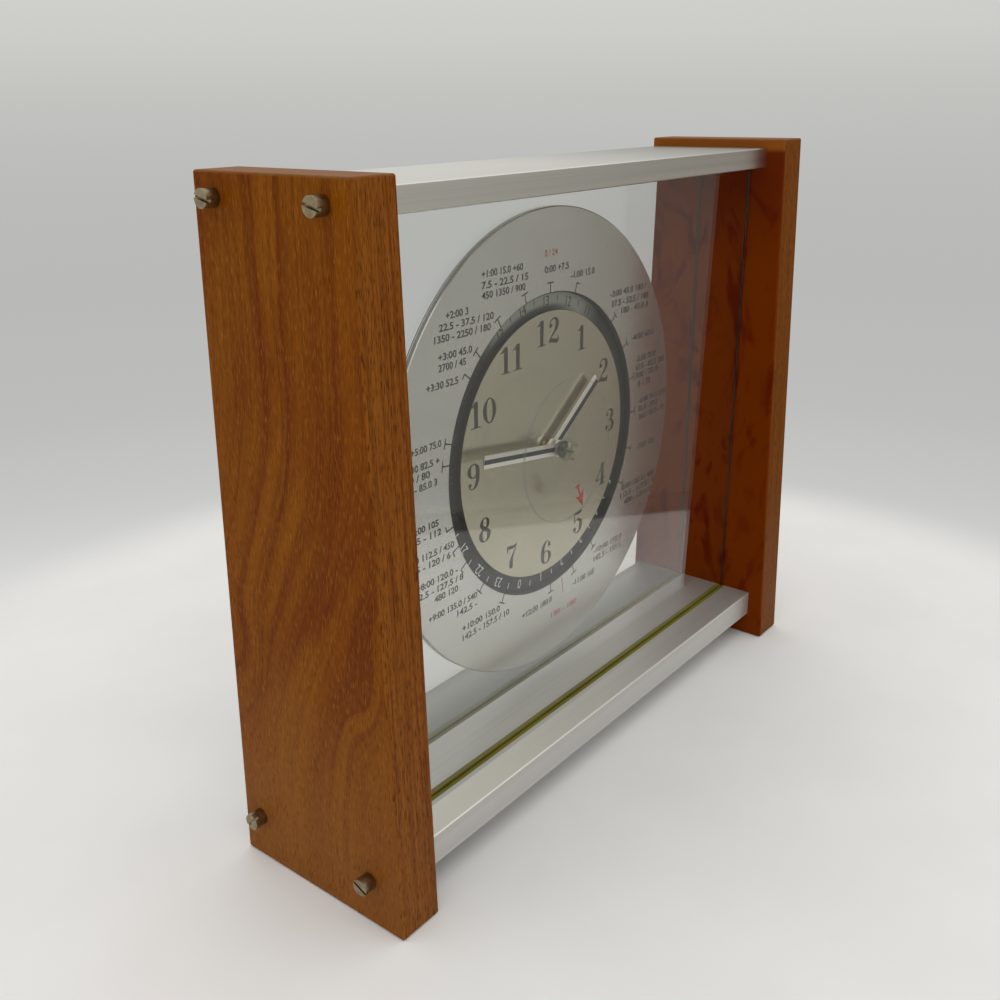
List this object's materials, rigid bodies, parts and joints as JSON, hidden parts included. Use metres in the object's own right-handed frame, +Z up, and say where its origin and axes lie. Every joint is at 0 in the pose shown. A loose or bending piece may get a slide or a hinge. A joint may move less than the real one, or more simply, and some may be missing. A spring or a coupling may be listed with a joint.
{
  "type": "world time clock",
  "caption": "Desk clock with wooden side panels, metal top and bottom plates, glass panes, a time zone disc and a turning day ring driven by a battery movement.",
  "frame": {"origin": "middle of the clock's footprint, on the table", "axes": "+X along the clock's width to its right as seen from the front, +Y from its front to its back, +Z up"},
  "size_m": [0.2422, 0.0644, 0.2],
  "materials": {
    "wood": "oiled, vertical grain",
    "plate_metal": "satin, brushed lengthwise",
    "screw_metal": "aged nickel plate",
    "strip": "dark olive",
    "pane": "clear float glass",
    "disc_metal": "satin silver",
    "dial_metal": "satin champagne",
    "ring": "light half and dark half",
    "hand_metal": "silver with a black stripe",
    "clear_plastic": "clear",
    "case_plastic": "black, fine texture",
    "knob_plastic": "black",
    "cell_jacket": "plain jacket",
    "contact_metal": "nickel plated",
    "brass": "turned and cut",
    "steel": "turned",
    "iron": "bare",
    "bobbin": "natural",
    "copper": "enamelled copper wire",
    "board": "green lacquer",
    "chip": "black resin"
  },
  "bodies": {
    "case": {"left_side_panel": "wood", "right_side_panel": "wood", "panel_screws": "screw_metal", "top_plate": "plate_metal", "bottom_plate": "plate_metal", "front_glass_lower_channel": "strip", "front_glass_upper_channel": "strip", "rear_glass_lower_channel": "strip", "rear_glass_upper_channel": "strip", "front_glass": "pane", "rear_glass": "pane", "zone_disc": "disc_metal", "inner_dial": "dial_metal", "dial_post": "brass", "post_collar": "brass", "post_nut": "brass", "movement_case": "case_plastic", "case_screws": "screw_metal", "rear_cover": "case_plastic", "cover_screws": "screw_metal", "battery_cell": "cell_jacket", "battery_contact_plus": "contact_metal", "battery_contact_minus": "contact_metal", "front_plate": "brass", "rear_plate": "brass", "plate_pillars": "brass", "third_wheel_stud": "steel", "step_wheel_stud": "steel", "stator_yoke": "iron", "coil_core": "iron", "coil_bobbin": "bobbin", "coil_winding": "copper", "coil_screws": "screw_metal", "circuit_board": "board", "clock_chip": "chip", "quartz_crystal": "contact_metal"},
    "battery_cover": {"battery_cover": "case_plastic"},
    "hour_ring": {"hour_ring": "ring", "hour_ring_bush": "brass", "day_wheel": "brass"},
    "hour_hand": {"hour_hand": "hand_metal", "hour_wheel": "brass"},
    "minute_hand": {"minute_hand": "hand_metal", "cannon_pinion": "brass", "clutch_spring": "brass"},
    "minute_wheel": {"minute_wheel_arbor": "steel", "minute_wheel": "brass", "day_pinion": "steel"},
    "set_knob": {"set_arbor": "steel", "set_knob": "knob_plastic"},
    "seconds": {"seconds_arbor": "steel", "seconds_wheel": "brass", "seconds_hub": "clear_plastic", "seconds_disc": "clear_plastic"},
    "centre_wheel": {"centre_wheel": "brass"},
    "third_wheel": {"third_wheel": "brass"},
    "step_wheel": {"step_wheel": "brass"},
    "rotor": {"rotor_arbor": "steel", "rotor_magnet": "iron"}
  },
  "joints": [
    {"name": "hour_ring_turn", "type": "hinge", "parent": "case", "child": "hour_ring", "pos_m": [0, 0, 0.1038], "axis": [0, 1, 0], "continuous": true},
    {"name": "hour_hand_turn", "type": "hinge", "parent": "case", "child": "hour_hand", "pos_m": [0, 0, 0.1038], "axis": [0, 1, 0], "continuous": true},
    {"name": "minute_hand_turn", "type": "hinge", "parent": "case", "child": "minute_hand", "pos_m": [0, 0, 0.1038], "axis": [0, 1, 0], "continuous": true},
    {"name": "seconds_turn", "type": "hinge", "parent": "case", "child": "seconds", "pos_m": [0, 0, 0.1038], "axis": [0, 1, 0], "continuous": true},
    {"name": "centre_wheel_turn", "type": "hinge", "parent": "case", "child": "centre_wheel", "pos_m": [0, 0, 0.1038], "axis": [0, 1, 0], "continuous": true},
    {"name": "minute_wheel_turn", "type": "hinge", "parent": "case", "child": "minute_wheel", "pos_m": [-0.00625, 0, 0.11463], "axis": [0, 1, 0], "continuous": true},
    {"name": "set_knob_turn", "type": "hinge", "parent": "case", "child": "set_knob", "pos_m": [-0.01053, 0, 0.12637], "axis": [0, 1, 0], "continuous": true},
    {"name": "third_wheel_turn", "type": "hinge", "parent": "case", "child": "third_wheel", "pos_m": [-0.009, 0, 0.1038], "axis": [0, 1, 0], "continuous": true},
    {"name": "step_wheel_turn", "type": "hinge", "parent": "case", "child": "step_wheel", "pos_m": [0.00822, 0, 0.10679], "axis": [0, 1, 0], "continuous": true},
    {"name": "rotor_turn", "type": "hinge", "parent": "case", "child": "rotor", "pos_m": [0.01559, 0, 0.11195], "axis": [0, 1, 0], "continuous": true},
    {"name": "battery_cover_slide", "type": "slide", "parent": "case", "child": "battery_cover", "axis": [0, 1, 0], "range_m": [0, 0.02]}
  ],
  "couplings": [
    {"joint": "hour_hand_turn", "follows": "hour_ring_turn", "ratio": 2},
    {"joint": "minute_hand_turn", "follows": "hour_ring_turn", "ratio": 24},
    {"joint": "minute_wheel_turn", "follows": "hour_ring_turn", "ratio": -8},
    {"joint": "set_knob_turn", "follows": "hour_ring_turn", "ratio": 24},
    {"joint": "step_wheel_turn", "follows": "seconds_turn", "ratio": -6},
    {"joint": "rotor_turn", "follows": "seconds_turn", "ratio": 30},
    {"joint": "third_wheel_turn", "follows": "seconds_turn", "ratio": -0.125},
    {"joint": "centre_wheel_turn", "follows": "seconds_turn", "ratio": 0.016667}
  ]
}
